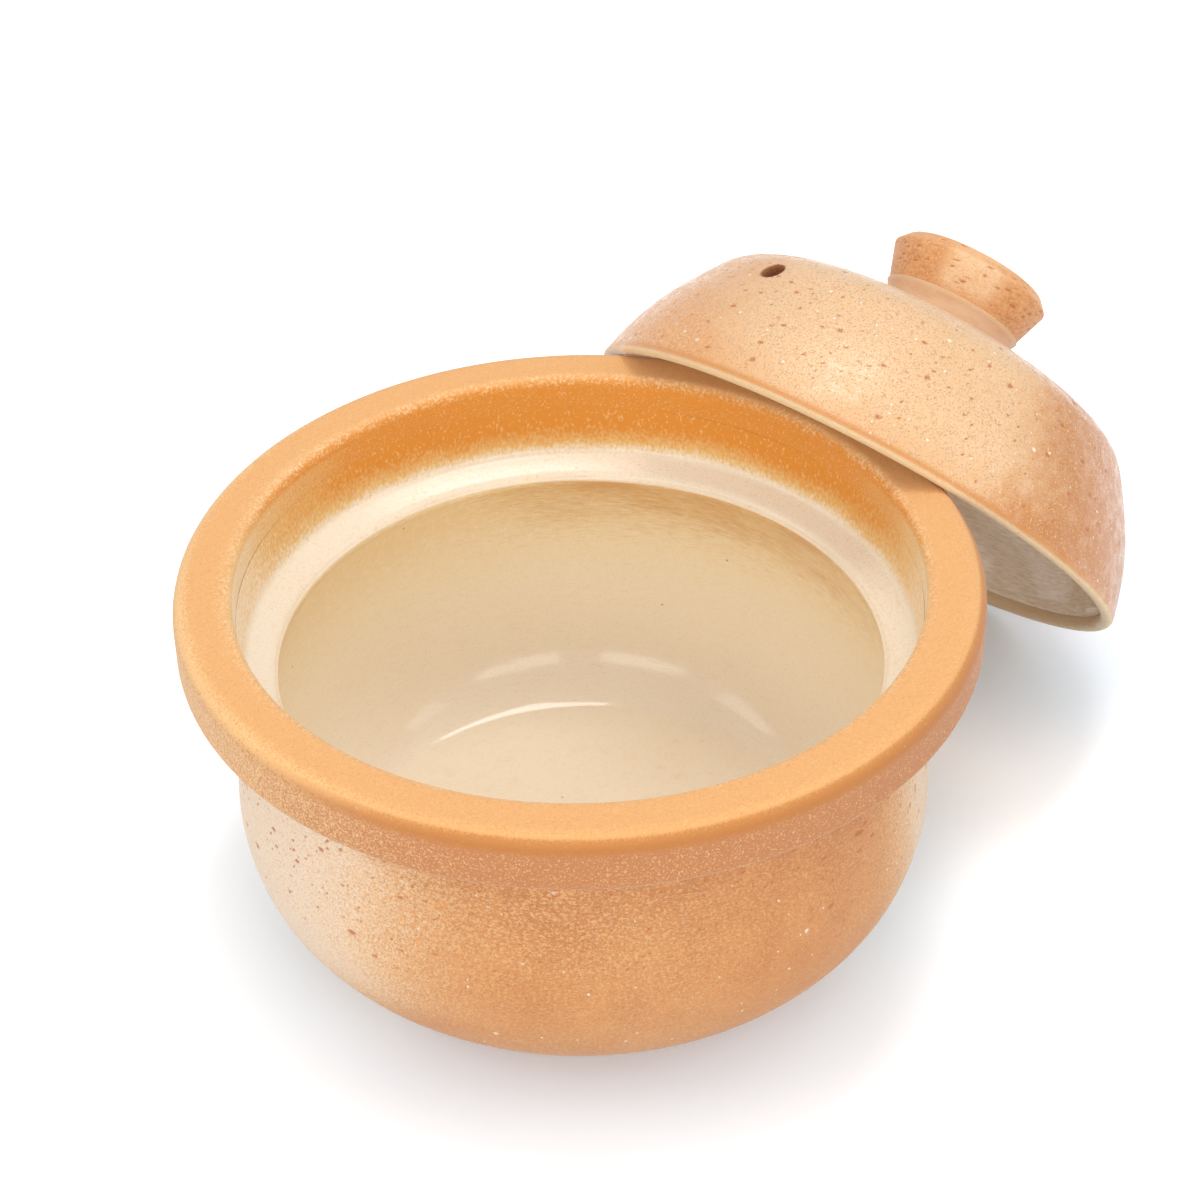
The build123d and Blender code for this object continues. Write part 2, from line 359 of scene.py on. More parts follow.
def pot_relief(surface):
    """The bowl's throwing rings, drag marks, torn pits and swells, what the fire left, and where shade
    and a highlight are painted into its colour.
    """
    place, height, radius = surface["place"], surface["height"], surface["radius"]
    swell = unevenness(place, 40, 3)
    inside = band(surface["along"], INSIDE - 1, INSIDE + 1)
    below = band(height, COLLAR_BOTTOM + 1, COLLAR_BOTTOM - 2) * band(radius, 60, 68) * (1 - inside)
    coarse = below * (0.3 + 0.7 * band(height, 40, 84))
    rings = place * (0.03, 0.03, 1)
    drawn = place * (0.14, 0.14, 1)
    rise = 0.10 * unevenness(place, 38, 1) + 0.04 * unevenness(place, 14, 2)
    rise += below * 0.07 * unevenness(rings, 3.1, 4) + 0.05 * coarse * unevenness(place, 2.2, 5)
    rise -= 0.22 * coarse * band(unevenness(drawn, 1.9, 6), 0.35, 0.75)
    rough = below * np.maximum(facing(surface, 208, 56), facing(surface, 336, 44))
    pits = pocks(surface, 5.0, 1.8, 0.9, 0.30, 20) * rough * band(height, 40, 58)
    small = pocks(surface, 2.6, 0.9, 0.55, 0.32, 30) * coarse
    rise -= 0.40 * band(pits, 0, 0.7) + 0.2 * band(small, 0, 0.7)
    rise = np.maximum(rise, -0.45 - 0.6 * band(height, LEDGE_HEIGHT, LEDGE_HEIGHT - 8))
    rise -= 0.3 * band(height, LEDGE_HEIGHT + 14, LEDGE_HEIGHT + 4) * inside
    body = 1.9 * facing(surface, 188, 74) - 1.1 + 0.25 * swell
    body -= band(height, 46, 22) + 0.5 * band(height, 84, 103)
    body = np.maximum(body, 1.5 * facing(surface, 0, 40) - 1.1 + 0.25 * swell)
    outer = band(radius, COLLAR_RADIUS - 7, COLLAR_RADIUS - 2)
    inner = band(radius, RECESS_RADIUS + 7, RECESS_RADIUS + 2)
    collar = (0.7 * facing(surface, 182, 80) + 0.3) * outer - 1.2 + 0.15 * swell
    collar += 0.6 * facing(surface, 178, 62) * inner
    # A darker golden-brown line round the collar's outer rounding, weaker on the left.
    rim = band(height, POT_HEIGHT - 8, POT_HEIGHT - 3)
    rim *= band(radius, COLLAR_RADIUS - 3, COLLAR_RADIUS - 1.2) * (1 - 0.8 * facing(surface, 190, 66))
    # A pale line along the collar's sharp inner edge: partly painted highlight, partly cream crumbs.
    edge_glint_and_crumbs = band(radius, RECESS_RADIUS + 3.4, RECESS_RADIUS + 1.2)
    edge_glint_and_crumbs *= band(height, POT_HEIGHT - 3.6, POT_HEIGHT - 1.6)
    coats = {
        "ash_and_sheen": np.where(below > 0.5, body, collar),
        "blush": recess_blush(surface),
        "recess": inside * band(height, POT_HEIGHT - 0.4, POT_HEIGHT - 1.8),
        "pits": np.maximum(pits, 0.8 * small),
        "below": below,
        "coarse": coarse * (0.5 + 0.5 * facing(surface, 236, 72)),
        # Under the collar's overhang the body is painted deeper orange as painted shade; the drag
        # marks lie there too.
        "collar_shade_and_drag": below * band(height, 66, 100),
        "rim": rim * (1 - inside),
        # The collar's vertical side, painted darker than its top: painted shade on a pinker tone.
        "side": band(radius, COLLAR_RADIUS - 1.2, COLLAR_RADIUS - 0.2) * (1 - below),
        "edge_glint_and_crumbs": edge_glint_and_crumbs * (0.6 + 0.4 * unevenness(place, 3, 9)),
    }
    return np.minimum(rise, 0) - SKIN, coats


class Field:
    """A value or colour that varies over a surface. Arithmetic on it adds Math nodes."""

    def __init__(self, socket):
        self.socket = socket

    def node(self, kind, settings, sockets, output=0):
        """A new node beside this one: its type, its settings, then its sockets' values or links."""
        tree = self.socket.id_data
        made = tree.nodes.new("ShaderNode" + kind)
        for name, value in settings.items():
            setattr(made, name, value)
        for name, value in sockets.items():
            if isinstance(value, Field):
                tree.links.new(value.socket, made.inputs[name])
            else:
                made.inputs[name].default_value = value
        return Field(made.outputs[output])

    def math(self, operation, *values):
        return self.node("Math", {"operation": operation}, dict(enumerate(values)))

    def __add__(self, other):
        return self.math("ADD", self, other)

    __radd__ = __add__

    def __mul__(self, other):
        return self.math("MULTIPLY", self, other)

    __rmul__ = __mul__

    def __sub__(self, other):
        return self.math("SUBTRACT", self, other)

    def __rsub__(self, other):
        return self.math("SUBTRACT", other, self)

    def step(self, low, high):
        """0 below low, 1 above high, and a soft step between."""
        settings = {"interpolation_type": "SMOOTHSTEP"}
        sockets = {"Value": self, "From Min": low, "From Max": high}
        return self.node("MapRange", settings, sockets)

    def most(self, other):
        return self.math("MAXIMUM", self, other)

    def stretched(self, *shares):
        """A place whose three axes are scaled by their own shares."""
        return self.node("VectorMath", {"operation": "MULTIPLY"}, {0: self, 1: shares})


def fired(red, green, blue):
    """A fired colour from the three numbers of a colour chart."""
    chart = np.array((red, green, blue)) / 255
    linear = np.where(chart <= 0.04045, chart / 12.92, ((chart + 0.055) / 1.055) ** 2.4)
    return (*linear.tolist(), 1.0)


def over(under, colour, share):
    """A colour laid over another one with the given share."""
    return share.node("Mix", {"data_type": "RGBA"}, {0: share, 6: under, 7: colour}, 2)


def finish(name, **constants):
    """A new finish, its shader, and a function that gives a coat of the mesh as a field."""
    material = bpy.data.materials.new(name)
    material.use_nodes = True
    tree = material.node_tree
    shader = tree.nodes["Principled BSDF"]
    for socket, value in constants.items():
        shader.inputs[socket.replace("_", " ")].default_value = value
    spare = Field(shader.outputs[0])

    def coat(layer, output="Fac"):
        return spare.node("Attribute", {"attribute_name": layer}, {}, output)

    return material, shader, coat


def lay(shader, **fields):
    """Links fields to the shader's sockets."""
    for name, field in fields.items():
        field.socket.id_data.links.new(field.socket, shader.inputs[name.replace("_", " ")])


def speckle(wheel, size, detail=2.0):
    """Even grain from 0 to 1, about the given size in mm."""
    sockets = {"Vector": wheel, "Scale": 1 / size, "Detail": detail, "Roughness": 0.6}
    return wheel.node("TexNoise", {}, sockets, "Fac")


def grains(wheel, pitch, reach, share):
    """Round grains: 1 inside, 0 outside; a share of the cells of the given pitch hold one."""
    sockets = {"Vector": wheel, "Scale": 1 / pitch, "Randomness": 1.0}
    away = wheel.node("TexVoronoi", {}, sockets, "Distance")
    pick = wheel.node("TexVoronoi", {}, sockets, "Color")
    pick = pick.node("SeparateColor", {}, {"Color": pick}, 0)
    size = pick.step(1 - share, 1.0) * (reach / pitch)
    return (size - away).step(-0.03, 0.06)


def dented(height, depth, strength):
    """A normal bent by a small height field, whose full depth is given in mm."""
    sockets = {"Height": height, "Distance": depth * MM, "Strength": strength}
    return height.node("Bump", {}, sockets, "Normal")


ORANGE = fired(208, 142, 84)
DEEP_ORANGE = fired(172, 98, 42)
GOLD = fired(242, 200, 142)
APRICOT = fired(227, 167, 102)
ROSE_AND_SIDE_SHADE = fired(182, 114, 66)
FILLET_BROWN = fired(186, 114, 42)
BUFF = fired(232, 210, 184)
CREAM = fired(240, 226, 204)
WARM_CREAM = fired(228, 188, 124)
BLUSH = fired(216, 138, 44)
GLINT_AND_CRUMB_CREAM = fired(242, 212, 166)
GRIT = fired(244, 226, 198)
TORN = fired(184, 110, 52)


def blushed(colour, blush, fine):
    """A colour that the fire turned golden and then orange, through a haze of fine specks."""
    haze = blush + (fine - 0.5) * 2.4
    golden = over(colour, WARM_CREAM, haze.step(-1.8, -0.4))
    golden = over(golden, BLUSH, haze.step(-0.9, 0.8))
    return over(golden, GOLD, haze.step(-0.2, 0.4) * fine.step(0.42, 0.32) * 0.5)


pot_clay, shader, coat = finish("pot_clay", Sheen_Weight=0.15, Sheen_Roughness=0.5)
wheel = coat("wheel", "Vector")
fine = speckle(wheel, 0.6)
mottle = speckle(wheel, 1.0)
streak = speckle(wheel.stretched(0.7, 0.7, 1.3), 0.7)
cloud = speckle(wheel, 16, 3.0)
below, coarse = coat("below"), coat("coarse")
salt = (streak - 0.5) * 4.0 * coarse + (fine - 0.5) * (0.8 + coarse)
# Deeper orange under the collar is painted shade.
colour = over(ORANGE, DEEP_ORANGE, (salt + coat("collar_shade_and_drag") * 0.3 + cloud - 0.5).step(-0.4, 1.0))
colour = over(colour, GOLD, (mottle - streak + coarse * 0.06).step(0.05, 0.22) * coarse * 0.4)
grain = (fine - 0.5) * 2.0 + (mottle - 0.5) * 0.5
plain = over(APRICOT, GOLD, grain.step(0.1, 0.5) * 0.5)
plain = over(plain, ROSE_AND_SIDE_SHADE, grain.step(-0.1, -0.5) * 0.3)
# The collar's side is painted a darker rose than its top: painted shade on a pinker tone.
plain = over(plain, over(ROSE_AND_SIDE_SHADE, GOLD, grain.step(0.1, 0.5) * 0.5), coat("side") * 0.9)
plain = over(plain, GOLD, (coat("ash_and_sheen") + grain * 1.5).step(-1.0, 0.3) * 0.85)
plain = over(plain, FILLET_BROWN, (coat("rim") + grain * 0.8).step(0.1, 1.1) * 0.85)
colour = over(plain, colour, below)
dusted = coat("ash_and_sheen") + (streak - 0.5) * 3.6 * coarse + grain * 1.6
colour = over(colour, GOLD, dusted.step(-1.5, 0.3) * below * 0.5)
colour = over(colour, BUFF, dusted.step(-0.8, 1.0) * below * 0.94)
colour = over(colour, blushed(CREAM, coat("blush"), fine), coat("recess"))
# The pale inner edge line is partly painted highlight, partly cream crumbs.
colour = over(colour, GLINT_AND_CRUMB_CREAM, coat("edge_glint_and_crumbs") * mottle.step(0.48, 0.58) * 0.7)
drag = speckle(wheel.stretched(0.16, 0.16, 1), 0.9, 1.0).step(0.6, 0.7) * coat("collar_shade_and_drag")
pits = (coat("pits") + (fine - 0.5) * 0.8).step(0.12, 0.45).most(drag * 0.4)
pepper = speckle(wheel.stretched(0.6, 0.6, 1), 0.5).step(0.58, 0.68) * (0.25 + 0.4 * below)
colour = over(colour, TORN, (pits * 0.9).most(pepper * 0.6))
grit = grains(wheel, 3.4, 0.5, 0.35) * (0.15 + 0.85 * below)
dots = grains(wheel, 9.0, 0.9, 0.25) * below
colour = over(colour, GRIT, grit.most(dots) * 0.85)
height = fine * 0.6 + streak * coarse * 0.8 - pepper * 0.5 + grit * 0.5 + dots - drag * 0.8
lay(
    shader,
    Base_Color=colour,
    Normal=dented(height, 0.35, 0.8),
    Roughness=0.72 - 0.15 * coat("ash_and_sheen").step(-0.1, 0.3),
)

bowl = turned("bowl_clay", bowl_path, pot_relief)
bowl.data.materials.append(pot_clay)
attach(bowl, "pot")
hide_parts("pot_bowl")

# The pot's glaze: a clear, glossy, cream glaze poured into the bowl and turned out again.
# It thins to nothing on its way up the recess, where the fire blushed the clay orange.

GLAZE = 0.4
GLAZE_LINE = 11.0
GLAZE_EDGE_INSET = 0.7
GLAZE_HUB = 3.0
GLAZE_RING_GAP = 1.0
glazed_recess = joined(
    (
        (RECESS_RADIUS - GLAZE_EDGE_INSET, POT_HEIGHT - GLAZE_LINE),
        (LEDGE_RADIUS - GLAZE, LEDGE_HEIGHT + GLAZE),
    ),
    LEDGE_ROUND,
    ((LEDGE_RADIUS - GLAZE, LEDGE_HEIGHT + GLAZE), (MOUTH_RADIUS - GLAZE, MOUTH_HEIGHT + GLAZE)),
    MOUTH_ROUND,
    cavity_run(GLAZE),
    FLOOR_ROUND,
    ((FLOOR_RADIUS - GLAZE, FLOOR_HEIGHT + GLAZE), (GLAZE_HUB, FLOOR_HEIGHT + GLAZE)),
)
glaze_path = np.vstack([spaced(glazed_recess, GLAZE_RING_GAP), [[0, FLOOR_HEIGHT + GLAZE]]])


def glaze_relief(surface):
    """The bowl's inside under its glaze: soft swells, two fine throwing lines and a blush, and the
    heights up the wall where painted shade darkens it.
    """
    place, height, radius = surface["place"], surface["height"], surface["radius"]
    rise = 0.07 * unevenness(place, 34, 7) + 0.012 * unevenness(place, 6, 8)
    on_ledge = band(height, MOUTH_HEIGHT - 1, MOUTH_HEIGHT + 1)
    line = band(np.abs(height - LEDGE_HEIGHT - 2.6), 0.9, 0.0)
    brush_and_shade = facing(surface, 62, 62) * band(height, 58, 94) * (1 - on_ledge)
    coats = {
        "blush": np.where(on_ledge > 0.5, recess_blush(surface), -2),
        "brush_and_shade": brush_and_shade * (0.9 + 0.3 * unevenness(place * (0.3, 0.3, 1), 5, 26)),
        # Heights up the wall at which the glaze is painted darker, as painted shade.
        "high": band(height, 16, 60),
        "upper": band(height, 44, 96),
        "ledge": on_ledge,
    }
    return rise + 0.12 * line, coats


FLOOR_CREAM = fired(250, 238, 218)
SHADED_SAND = fired(248, 234, 204)
DEEP_SHADED_SAND = fired(236, 207, 152)
BRUSH_AND_SHADE_BROWN = fired(206, 152, 86)
FLECK = fired(140, 102, 64)

pot_glaze, shader, coat = finish("pot_glaze", IOR=1.5)
wheel = coat("wheel", "Vector")
fine = speckle(wheel.stretched(1, 1, 0.6), 0.9)
soft = speckle(wheel, 26, 2.0)
milk = speckle(wheel, 2.2, 3.0)
# The glaze is painted darker and more saturated up the wall towards the mouth: painted shade.
colour = over(FLOOR_CREAM, SHADED_SAND, coat("high") * 0.8 + (soft - 0.5) * 0.3)
colour = over(colour, DEEP_SHADED_SAND, coat("upper") * 0.9)
colour = over(colour, FLOOR_CREAM, milk.step(0.45, 0.65) * 0.25)
colour = over(colour, CREAM, coat("ledge"))
# On the pot these brown streaks are a brushed blush; inside the lid the same brown is painted shade.
brush_and_shade = coat("brush_and_shade") + (speckle(wheel.stretched(0.15, 0.15, 1), 0.7) - 0.5) * 1.2
colour = over(colour, BRUSH_AND_SHADE_BROWN, brush_and_shade.step(0.0, 1.3) * 0.85)
colour = blushed(colour, coat("blush"), fine)
blush = coat("blush").step(-0.4, 0.4)
flecks = grains(wheel, 7.0, 0.5, 0.35) * (1 - coat("ledge"))
colour = over(colour, FLECK, (flecks * 0.75).most(speckle(wheel, 0.6).step(0.5, 0.8) * 0.14))
lay(
    shader,
    Base_Color=colour,
    Roughness=0.10 + 0.4 * blush + 0.14 * coat("ledge"),
    Normal=dented(milk * 0.6 + fine * blush, 0.1, 0.3),
)

inside = turned("bowl_glaze", glaze_path, glaze_relief)
inside.data.materials.append(pot_glaze)
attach(inside, "pot")
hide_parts("pot_inner_glaze")

# The lid: a dome thrown from the same clay, smoother than the pot, with a bare pale lip
# where it sat on the ledge and one steam hole drilled through its shoulder before firing.
# It leans with its rim on the ground and its inside against the collar's edge.

LID_RADIUS = LEDGE_RADIUS - 4.9
LID_HEIGHT = 59.0
HOLLOW_RADIUS = LID_RADIUS - 5.0
HOLLOW_HEIGHT = LID_HEIGHT - 6.0
LIP_ROUND = 1.9
LIP_INSIDE = 6.0
KNOB_FOOT = 19.6
SEAT_RADIUS = KNOB_FOOT + 4.0
DOME_SHARES = ((0.41, 0.922), (0.69, 0.824), (0.84, 0.753), (0.93, 0.655))
RIM_LEAN_SHARE = 0.2
LEAN_SHARE = 0.593
LEAN_AZIMUTH = math.radians(50)
FLOOR_GAP = 0.3
LEAN_GAP = 0.3

eighth = math.cos(math.radians(45))
edge_radius = COLLAR_RADIUS - COLLAR_TOP_ROUND * (1 - eighth)
edge_height = POT_HEIGHT - COLLAR_TOP_ROUND * (1 - eighth)
sine = ((edge_height - FLOOR_GAP) / (2 * LID_RADIUS)) ** LEAN_SHARE
cosine = math.sqrt(1 - sine**2)
rim_lean = math.atan(RIM_LEAN_SHARE)
lip_inset = LIP_ROUND * (1 + math.sin(rim_lean)) / math.cos(rim_lean)
rim_height = FLOOR_GAP + (LID_RADIUS - lip_inset) * sine + LIP_ROUND * (1 - cosine)
lip_radius = HOLLOW_RADIUS + LIP_ROUND * (1 - eighth)
slope = (edge_height - rim_height) / sine
reach = slope * cosine + math.sqrt(edge_radius**2 - lip_radius**2 + slope**2)
lean = Matrix.Rotation(LEAN_AZIMUTH, 4, "Z")
lean @= Matrix.Translation(((reach + LEAN_GAP) * MM, 0, rim_height * MM))
lean @= Matrix.Rotation(math.asin(sine), 4, "Y")


def dome_run(radius, height):
    """One side of the lid's wall from its rim up to the level crown."""
    points = [(radius * across, height * up) for up, across in DOME_SHARES]
    return smooth_run(((radius, 0), *points, (SEAT_RADIUS, height)), (-0.19, 0.95), (-1.0, 0))


CROWN_ROUND = 0.5
LID_HUB = 4.0
HOLLOW_HUB = 12.0
HOLLOW_RING_GAP = 5.0

dome = joined(
    ((HOLLOW_RADIUS, LIP_INSIDE), (HOLLOW_RADIUS, 0)),
    LIP_ROUND,
    ((HOLLOW_RADIUS, 0), (LID_RADIUS, 0)),
    LIP_ROUND,
    dome_run(LID_RADIUS, LID_HEIGHT),
    CROWN_ROUND,
    ((SEAT_RADIUS, LID_HEIGHT), (LID_HUB, LID_HEIGHT)),
)
hollow = spaced(dome_run(HOLLOW_RADIUS, HOLLOW_HEIGHT), HOLLOW_RING_GAP)[::-1]
hollow = np.vstack(
    [[[0, HOLLOW_HEIGHT], [HOLLOW_HUB, HOLLOW_HEIGHT]], hollow[hollow[:, 1] > LIP_INSIDE]]
)
lid_path = np.vstack([hollow, spaced(dome, RING_GAP), [[0, LID_HEIGHT]]])
LIP_ALONG = length(np.vstack([hollow, [(HOLLOW_RADIUS, 0)]]))


def lid_relief(surface):
    """The lid's soft throwing swells, with torn pits and grit, what the fire left, and a pale patch
    that is partly painted sheen.
    """
    place, height, radius = surface["place"], surface["height"], surface["radius"]
    outside = band(surface["along"], LIP_ALONG + 2, LIP_ALONG + 5)
    drawn = place * (0.2, 0.2, 1)
    rise = 0.10 * unevenness(place, 34, 11) + 0.03 * unevenness(drawn, 4.0, 12)
    rise += 0.025 * unevenness(place, 2.4, 13)
    worn = facing(surface, 215, 80) * band(height, 8, 18) * band(height, 52, 36)
    pits = pocks(surface, 5.0, 1.4, 0.9, 0.08 + 0.16 * worn, 50) * outside * band(height, 4, 10)
    small = pocks(surface, 2.6, 0.8, 0.55, 0.14 + 0.24 * worn, 60) * outside * band(height, 3, 7)
    rise -= 0.40 * band(pits, 0, 0.7) + 0.2 * band(small, 0, 0.7)
    # A pale patch facing the front of the lid: partly pale ash, partly a painted sheen where the
    # overhead lamp's highlight falls.
    pale = 1.9 * facing(surface, 210, 70) - 1.0 - 0.8 * band(height, 20, 3)
    pale += 0.35 * unevenness(place, 26, 14)
    bare = band(height, 2.2, 0.9)
    coats = {
        "ash_and_sheen": pale,
        "pits": np.maximum(pits, 0.8 * small),
        "bare": np.maximum(bare, 1 - outside),
        "toast": band(height, 0.8, 1.8) * band(height, 4.4, 2.6) * outside,
        "warm": facing(surface, 292, 84) - 0.15 * unevenness(place, 20, 15),
        "drilled": 0 * height,
    }
    return np.minimum(rise, 0) - 2 * SKIN, coats


STEAM_HOLE_RADIUS = 3.6
STEAM_HOLE_RISE = math.radians(28.9)
STEAM_HOLE_TURN = math.radians(160.8)
aim = Matrix.Rotation(STEAM_HOLE_TURN, 4, "Z") @ Matrix.Rotation(math.pi / 2 - STEAM_HOLE_RISE, 4, "Y")
shoulder = np.linalg.norm(dome_run(LID_RADIUS, LID_HEIGHT), axis=1)
angles = np.arctan2(*dome_run(LID_RADIUS, LID_HEIGHT).T[::-1])
hole_depth = float(np.interp(STEAM_HOLE_RISE, angles, shoulder))


def drill_relief(surface):
    """The drilled wall is slightly ragged."""
    return 0.12 * unevenness(surface["place"], 2.0, 22), {}


DRILL_IN = 22.0
DRILL_OUT = 6.0
DRILL_RING_GAP = 1.6
WORN_DEPTH = 0.7
WORN_EDGE = 0.25
FLARE = 1.4
FLARE_OUT = 1.1
drill_path = [
    (0, hole_depth - DRILL_IN),
    (STEAM_HOLE_RADIUS, hole_depth - DRILL_IN),
    *((STEAM_HOLE_RADIUS, hole_depth - DRILL_RING_GAP * ring) for ring in (3, 2, 1)),
    (STEAM_HOLE_RADIUS + WORN_EDGE, hole_depth - WORN_DEPTH),
    (STEAM_HOLE_RADIUS + FLARE, hole_depth + FLARE_OUT),
    (STEAM_HOLE_RADIUS + FLARE, hole_depth + DRILL_OUT),
    (0, hole_depth + DRILL_OUT),
]
axis = aim.to_3x3() @ Vector((0, 0, 1))
WALL_REACH = (STEAM_HOLE_RADIUS + 0.4) * MM


def drilled(piece, drill):
    """Cuts the drill out of a closed piece, and marks the torn wall that it leaves, which is painted
    dark brown as shade in the hole.
    """
    cut = piece.modifiers.new("steam hole", "BOOLEAN")
    cut.operation = "DIFFERENCE"
    cut.solver = "EXACT"
    cut.object = drill
    bpy.context.view_layer.objects.active = piece
    bpy.ops.object.modifier_apply(modifier=cut.name)
    layers = piece.data.attributes
    marks = zip(piece.data.vertices, layers["drilled"].data, layers["bare"].data)
    for vertex, wall, bare in marks:
        height = vertex.co.dot(axis)
        if height > 0 and (vertex.co - axis * height).length < WALL_REACH:
            wall.value, bare.value = 1, 0


LID_ORANGE = fired(222, 162, 104)
LID_BROWN = fired(196, 126, 66)
LID_BUFF_AND_SHEEN = fired(228, 190, 146)
LID_ROSE = fired(190, 120, 54)
LIP = fired(226, 196, 152)
SINGED = fired(204, 132, 58)
HOLE_SHADE_BROWN = fired(160, 92, 40)

lid_clay, shader, coat = finish("lid_clay", Sheen_Weight=0.15, Coat_Roughness=0.14)
wheel = coat("wheel", "Vector")
fine = speckle(wheel, 0.6)
mottle = speckle(wheel.stretched(1, 1, 1.3), 1.3)
blotch = speckle(wheel, 4.5, 3.0)
cloud = speckle(wheel, 18, 3.0)
grain = (fine - 0.5) * 1.4 + (mottle - 0.5) * 1.4
warm = (coat("warm") + grain * 0.5).step(0.0, 0.8)
colour = over(LID_ORANGE, LID_BROWN, (grain * 1.6 + cloud - 0.5).step(-0.2, 1.0) * 0.8)
colour = over(colour, LID_ROSE, warm * 0.95)
dusted = coat("ash_and_sheen") + grain * 2.4 + (blotch - 0.5) * 1.8 - warm * 1.3
# The pale buff is partly ash and partly painted sheen.
colour = over(colour, LID_BUFF_AND_SHEEN, dusted.step(-1.0, 0.9))
colour = over(colour, LID_BROWN, (grain + (blotch - 0.5) * 0.8).step(0.0, 0.5) * 0.55)
colour = over(colour, GOLD, grain.step(-0.05, -0.45) * 0.6)
pits = (coat("pits") + (fine - 0.5) * 0.8).step(0.12, 0.45)
pepper = speckle(wheel, 0.55).step(0.56, 0.66) * 0.5
colour = over(colour, TORN, (pits * 0.85).most(pepper))
grit = grains(wheel, 3.2, 0.6, 0.5)
dots = grains(wheel, 6.0, 0.9, 0.35)
colour = over(colour, GRIT, grit.most(dots) * 0.85)
colour = over(colour, SINGED, coat("toast") * 0.8)
colour = over(colour, LIP, coat("bare"))
# The hole's wall is painted dark brown: painted shade inside the steam hole.
colour = over(colour, HOLE_SHADE_BROWN, coat("drilled"))
height = blotch * 0.4 + fine * 0.5 + mottle * 0.6 - pepper * 0.5 + grit * 0.6 + dots
lay(
    shader,
    Base_Color=colour,
    Normal=dented(height, 0.3, 0.8),
    Roughness=0.26 + 0.16 * fine + 0.2 * coat("bare"),
    Coat_Weight=0.4 * blotch.step(0.46, 0.6),
)

lid = turned("lid_clay_dome", lid_path, lid_relief)
lid.data.materials.append(lid_clay)
drill = turned("steam_drill", np.array(drill_path, float), drill_relief, aim, crowd=64)
drill.data.materials.append(lid_clay)
drilled(lid, drill)
bpy.data.objects.remove(drill)
lid.data.transform(lean)
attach(lid, "lid")
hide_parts("lid_dome")

# The lid's glaze: the pot's glaze again, poured into the dome and wiped off the lip. The
# steam hole runs through it too, and it drew back a little from the hole's edge.

LIP_BARE = 4.0
LIP_GLAZED = LIP_BARE + 2.0
GLAZE_LIP_INSET = 0.2
GLAZE_LIP_ROUND = 0.3
LID_GLAZE_GAP = 1.3
under_dome = dome_run(HOLLOW_RADIUS - GLAZE, HOLLOW_HEIGHT - GLAZE)
lid_glazed = joined(
    ((HOLLOW_RADIUS - GLAZE_LIP_INSET, LIP_BARE), (HOLLOW_RADIUS - GLAZE_EDGE_INSET, LIP_GLAZED)),
    GLAZE_LIP_ROUND,
    shortened(under_dome[::-1], LIP_GLAZED)[::-1],
    CROWN_ROUND,
    ((SEAT_RADIUS, HOLLOW_HEIGHT - GLAZE), (GLAZE_HUB, HOLLOW_HEIGHT - GLAZE)),
)
lid_glaze_path = np.vstack([spaced(lid_glazed, LID_GLAZE_GAP), [[0, HOLLOW_HEIGHT - GLAZE]]])


def lid_glaze_relief(surface):
    """The dome's inside under its glaze, with soft swells, its cream painted browner all over as
    painted shade.
    """
    place = surface["place"]
    rise = 0.07 * unevenness(place, 30, 27) + 0.012 * unevenness(place, 6, 28)
    coats = {"blush": -2, "brush_and_shade": 0.45, "high": 0.4, "upper": 0, "ledge": 0}
    return rise, {coat: 0 * rise + amount for coat, amount in coats.items()}


under_lid = turned("lid_glaze", lid_glaze_path, lid_glaze_relief)

GATHERED = 5.5 * MM
GLAZE_CLEAR = (STEAM_HOLE_RADIUS + 0.3) * MM
GATHER_SHARE = 0.3


def off_axis(point):
    """How far a point lies off the steam hole's axis, as a vector; far off on the other side."""
    height = point.dot(axis)
    return point - axis * height if height > 0 else Vector((1, 1, 1))


for vertex in under_lid.data.vertices:
    off = off_axis(vertex.co)
    if off.length < GATHERED:
        widened = GLAZE_CLEAR + off.length * GATHER_SHARE
        vertex.co = vertex.co - off + off.normalized() * max(off.length, widened)

glaze_mesh = bmesh.new()
glaze_mesh.from_mesh(under_lid.data)
over_hole = [
    face
    for face in glaze_mesh.faces
    if off_axis(face.calc_center_median()).length < STEAM_HOLE_RADIUS * MM
]
bmesh.ops.delete(glaze_mesh, geom=over_hole, context="FACES")
glaze_mesh.to_mesh(under_lid.data)
under_lid.data.transform(lean)
under_lid.data.materials.append(pot_glaze)
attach(under_lid, "lid")
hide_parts("lid_inner_glaze")

# The knob: thrown apart from the coarsest clay, flared, bevelled and dished on top. It is set
# on the crown while both are still damp, and the slip round its foot holds it.

KNOB_RADIUS = 28.2
KNOB_FLARE = 24.5
KNOB_BEVEL_WIDTH = 3.4
KNOB_TOP = KNOB_FLARE + 3.9
KNOB_EDGE_ROUND = 0.9
DISH_RADIUS = 15.0
DISH_DEPTH = 7.0
DISH_ROUND = 1.0
KNOB_SUNK = 0.3
KNOB_HUB = 10.0
KNOB_RING_GAP = 0.5
KNOB_TOP_HEIGHT = LID_HEIGHT + KNOB_TOP
SLIP_HEIGHT = 11.8
SLIP_EDGE = 0.7


